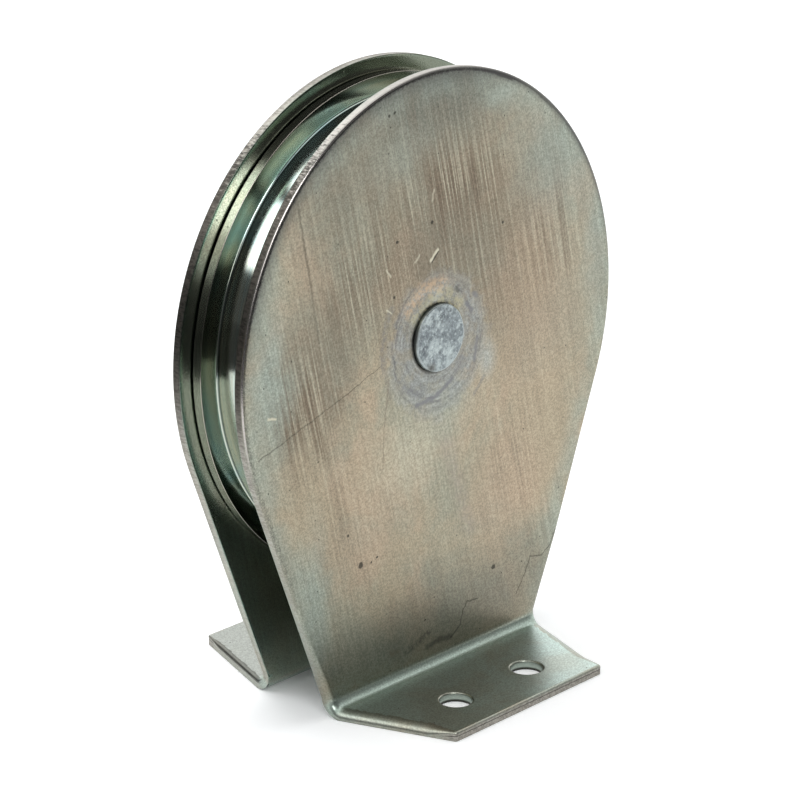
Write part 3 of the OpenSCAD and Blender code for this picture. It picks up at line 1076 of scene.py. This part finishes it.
def hiddenMaterial(name, colour, metal, rough):
    # duller in patches and in a fine grain
    material, shader, place = newMaterial(name)
    patch = place.noise(0.25, 3, 0.6)
    fine = place.noise(3.5, 2, 0.6)
    dull = tuple(0.7 * part for part in colour)
    feed(shader, {
        "Base Color": (patch.ease(0.35, 0.7) * 0.6 + fine.ease(0.5, 0.8) * 0.3).tint(colour, dull),
        "Metallic": metal,
        "Roughness": rough + (fine - 0.5) * 0.12,
        "Normal": bumped(fine, 0.15, 0.02),
    })
    return material


def dressHidden():
    # each inner node keeps its solid and takes the finish of its slot
    finishes = {slot: hiddenMaterial(slot, *values) for slot, values in hidden.items()}
    for part in frame["record"]["subparts"]:
        if part["material_slot"] in finishes:
            mesh = frame["nodes"][part["node"]].data
            mesh.materials.clear()
            mesh.materials.append(finishes[part["material_slot"]])
            print("inner piece", part["node"], "takes", part["material_slot"])


dressHidden()


# floor and light

studio = {
    "floorSize": 16.0,                           # m
    "floorColour": (0.965, 0.98, 0.99),
    "glow": 0.2,
    "shaded": ((-0.012, 0.0), (0.078, 0.052)),   # middle and half size of the spot without glow: a painted shadow under the part
    "dim": 0.085,                                # level of the room where no light stands
    "flagRadius": (0.52, 0.26),                  # dark flags on the left, seen in reflections only
    "flagHeight": 0.14,
    "flagAngles": (96.0, 284.0),
    "flagColour": (0.05, 0.05, 0.05, 1),
}

# lights: direction, level, and the cosines where they start and are full
lights = [
    ((0.949, 0.202, 0.242), 1.15, (0.55, 0.80)),     # pale wall on the right
    ((0.183, 0.183, 0.966), 1.75, (0.82, 0.90)),     # overhead
    ((0.56, 0.70, 0.44), 1.4, (0.87, 0.955)),        # soft box behind on the right
    ((0.065, 0.740, 0.669), 3.0, (0.955, 0.98)),     # small soft box behind
    ((-0.481, 0.687, 0.545), 3.4, (0.965, 0.985)),   # small soft box behind on the left
    ((-0.383, -0.663, 0.643), 5.8, (0.966, 0.985)),  # small soft box in front on the left
    ((-0.532, -0.759, 0.375), 2.2, (0.978, 0.995)),  # its lower end
    ((-0.621, 0.166, 0.766), 2.2, (0.91, 0.97)),     # soft box over the left side
]


def makeFloor():
    # a large sheet of paper; its faint glow is only seen and mirrored, and is left out under the part as a painted
    # shadow
    half = studio["floorSize"] / 2
    mesh = bpy.data.meshes.new("floor")
    corners = [(-half, -half, 0), (half, -half, 0), (half, half, 0), (-half, half, 0)]
    mesh.from_pydata(corners, [], [(0, 1, 2, 3)])
    floor = bpy.data.objects.new("floor", mesh)
    bpy.context.scene.collection.objects.link(floor)
    material = bpy.data.materials.new("floor_paper")
    material.use_nodes = True
    tree = material.node_tree
    eye = Wire(tree).node("ShaderNodeLightPath", None, None, "Is Camera Ray")
    seen = eye.most(eye.sibling("Is Glossy Ray")).most(eye.sibling("Is Transmission Ray"))
    place = Wire(tree).node("ShaderNodeTexCoord", None, None, 3)
    # the glow fades out in a spot under the part: a painted shadow
    white = (seen * (1 - softSpot(place, *studio["shaded"]))).tint((0, 0, 0), (1, 1, 1))
    paler = studio["floorColour"]
    darker = tuple(0.985 * part for part in paler)
    feed(tree.nodes["Principled BSDF"], {
        "Base Color": place.noise(30.0, 2).tint(paler, darker),
        "Roughness": 0.9,
        "Specular IOR Level": 0.0,
        "Emission Color": white,
        "Emission Strength": studio["glow"],
    })
    mesh.materials.append(material)


def makeFlags():
    # an upright arc of dark card round the table's left side, coming nearer towards the front
    share = np.linspace(0, 1, 49)
    angle = np.radians(studio["flagAngles"][0] + share * np.ptp(studio["flagAngles"]))
    radius = studio["flagRadius"][0] + share * (studio["flagRadius"][1] - studio["flagRadius"][0])
    ring = np.stack([radius * np.cos(angle), radius * np.sin(angle)], axis=1)
    levels = [np.full((len(share), 1), height) for height in (0.002, studio["flagHeight"])]
    rows = [np.concatenate([ring, level], axis=1) for level in levels]
    mesh = bpy.data.meshes.new("dark_flags")
    mesh.from_pydata(np.concatenate(rows).tolist(), [], gridQuads(2, len(share), False).tolist())
    flags = bpy.data.objects.new("dark_flags", mesh)
    bpy.context.scene.collection.objects.link(flags)
    material = bpy.data.materials.new("dark_card")
    material.use_nodes = True
    card = {"Base Color": studio["flagColour"], "Roughness": 0.9, "Specular IOR Level": 0.0}
    feed(material.node_tree.nodes["Principled BSDF"], card)
    mesh.materials.append(material)
    flags.visible_camera = False
    flags.visible_diffuse = False
    flags.visible_shadow = False


def makeSky():
    # the brightest of the lights in each direction
    world = bpy.data.worlds.new("studio")
    bpy.context.scene.world = world
    world.use_nodes = True
    tree = world.node_tree
    heading = Wire(tree).node("ShaderNodeTexCoord", None, None, 0)
    level = studio["dim"]
    for aim, strength, edge in lights:
        facing = heading.vector("DOT_PRODUCT", tuple(np.array(aim) / np.linalg.norm(aim)), 1)
        level = (facing.ease(*edge) * strength).most(level)
    feed(tree.nodes["Background"], {"Color": level.packed(level, level, level), "Strength": 1.0})


makeFloor()
makeFlags()
makeSky()
bpy.context.scene.view_settings.view_transform = "Standard"
print("floor and light set")
